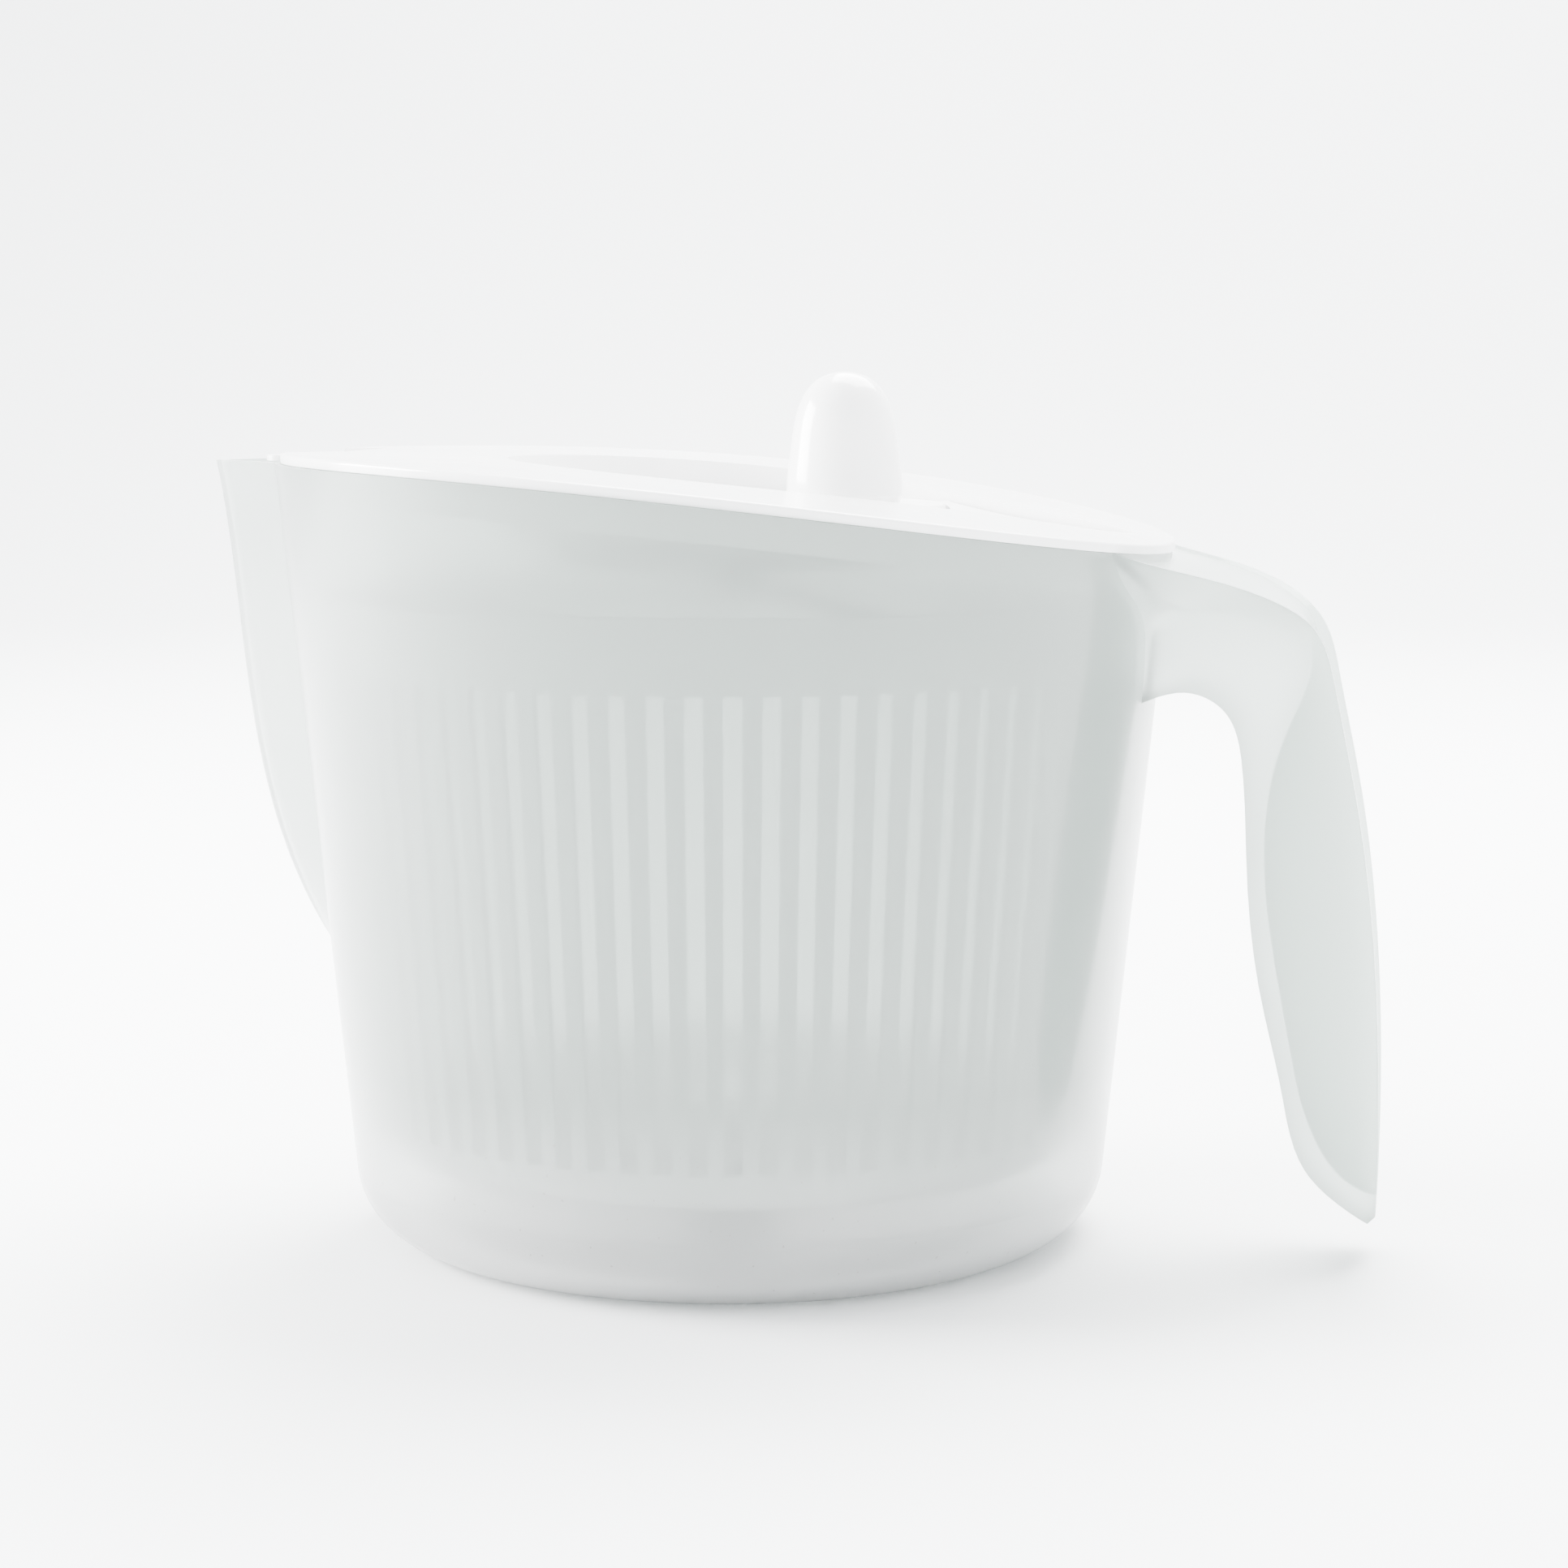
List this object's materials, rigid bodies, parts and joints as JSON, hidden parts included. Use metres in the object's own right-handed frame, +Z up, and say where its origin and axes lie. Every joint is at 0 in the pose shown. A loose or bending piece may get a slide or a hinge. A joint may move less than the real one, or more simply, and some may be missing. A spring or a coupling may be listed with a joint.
{
  "type": "salad spinner",
  "caption": "Hand-cranked salad spinner: frosted pouring jug with hooked handle, slotted turning basket and crowned geared lid.",
  "frame": {"origin": "centre of the jug's flat base, on the axis of the jug and the basket", "axes": "+Z up along the basket's axis, +X towards the handle, -X towards the spout"},
  "size_m": [0.3091, 0.2321, 0.2243],
  "materials": {
    "frosted_plastic": "translucent frosted white moulding, glossy outside",
    "white_plastic": "smooth opaque white, gloss",
    "basket_plastic": "translucent white, fine matte",
    "inner_plastic": "off-white, fine matte",
    "gear_plastic": "natural acetal, smooth",
    "bush_plastic": "pale grey nylon",
    "steel": "bright stainless steel"
  },
  "bodies": {
    "jug": {"jug": "frosted_plastic"},
    "lid": {"lid_cover": "white_plastic", "glide_ring": "bush_plastic", "gear_housing": "inner_plastic", "housing_screws": "steel", "idler_pins": "steel", "shaft_bush": "bush_plastic"},
    "crank": {"crank_disc": "white_plastic", "ring_gear": "gear_plastic", "ring_screws": "steel", "knob_pin": "steel", "knob_washer": "bush_plastic"},
    "knob": {"crank_knob": "white_plastic", "knob_bush": "bush_plastic"},
    "idler_1": {"idler_gear_1": "gear_plastic"},
    "idler_2": {"idler_gear_2": "gear_plastic"},
    "idler_3": {"idler_gear_3": "gear_plastic"},
    "drive": {"sun_gear": "gear_plastic", "drive_shaft": "steel", "drive_plate": "inner_plastic", "plate_screw": "steel", "thrust_washer": "bush_plastic"},
    "pivot": {"pivot_bush": "bush_plastic", "pivot_washer": "bush_plastic"},
    "basket": {"basket": "basket_plastic", "basket_axle": "steel", "axle_clip": "steel"}
  },
  "joints": [
    {"name": "lid_lift", "type": "slide", "parent": "jug", "child": "lid", "axis": [0, 0, 1], "range_m": [0, 0.4]},
    {"name": "crank_spin", "type": "hinge", "parent": "lid", "child": "crank", "pos_m": [0, 0, 0.189], "axis": [0, 0, 1], "continuous": true},
    {"name": "knob_spin", "type": "hinge", "parent": "crank", "child": "knob", "pos_m": [0.0344, -0.0229, 0.205], "axis": [0, 0, 1], "continuous": true},
    {"name": "idler_spin_1", "type": "hinge", "parent": "lid", "child": "idler_1", "pos_m": [0.0195, 0, 0.1838], "axis": [0, 0, 1], "continuous": true},
    {"name": "idler_spin_2", "type": "hinge", "parent": "lid", "child": "idler_2", "pos_m": [-0.00975, 0.01689, 0.1838], "axis": [0, 0, 1], "continuous": true},
    {"name": "idler_spin_3", "type": "hinge", "parent": "lid", "child": "idler_3", "pos_m": [-0.00975, -0.01689, 0.1838], "axis": [0, 0, 1], "continuous": true},
    {"name": "drive_spin", "type": "hinge", "parent": "lid", "child": "drive", "pos_m": [0, 0, 0.18], "axis": [0, 0, 1], "continuous": true},
    {"name": "basket_lift", "type": "slide", "parent": "jug", "child": "pivot", "axis": [0, 0, 1], "range_m": [0, 0.2]},
    {"name": "basket_spin", "type": "hinge", "parent": "pivot", "child": "basket", "pos_m": [0, 0, 0.02], "axis": [0, 0, 1], "continuous": true}
  ],
  "couplings": [
    {"joint": "idler_spin_1", "follows": "crank_spin", "ratio": 2.8571},
    {"joint": "idler_spin_2", "follows": "crank_spin", "ratio": 2.8571},
    {"joint": "idler_spin_3", "follows": "crank_spin", "ratio": 2.8571},
    {"joint": "drive_spin", "follows": "crank_spin", "ratio": -3.3333},
    {"joint": "basket_spin", "follows": "crank_spin", "ratio": -3.3333},
    {"joint": "basket_lift", "follows": "lid_lift", "ratio": 0.5}
  ]
}
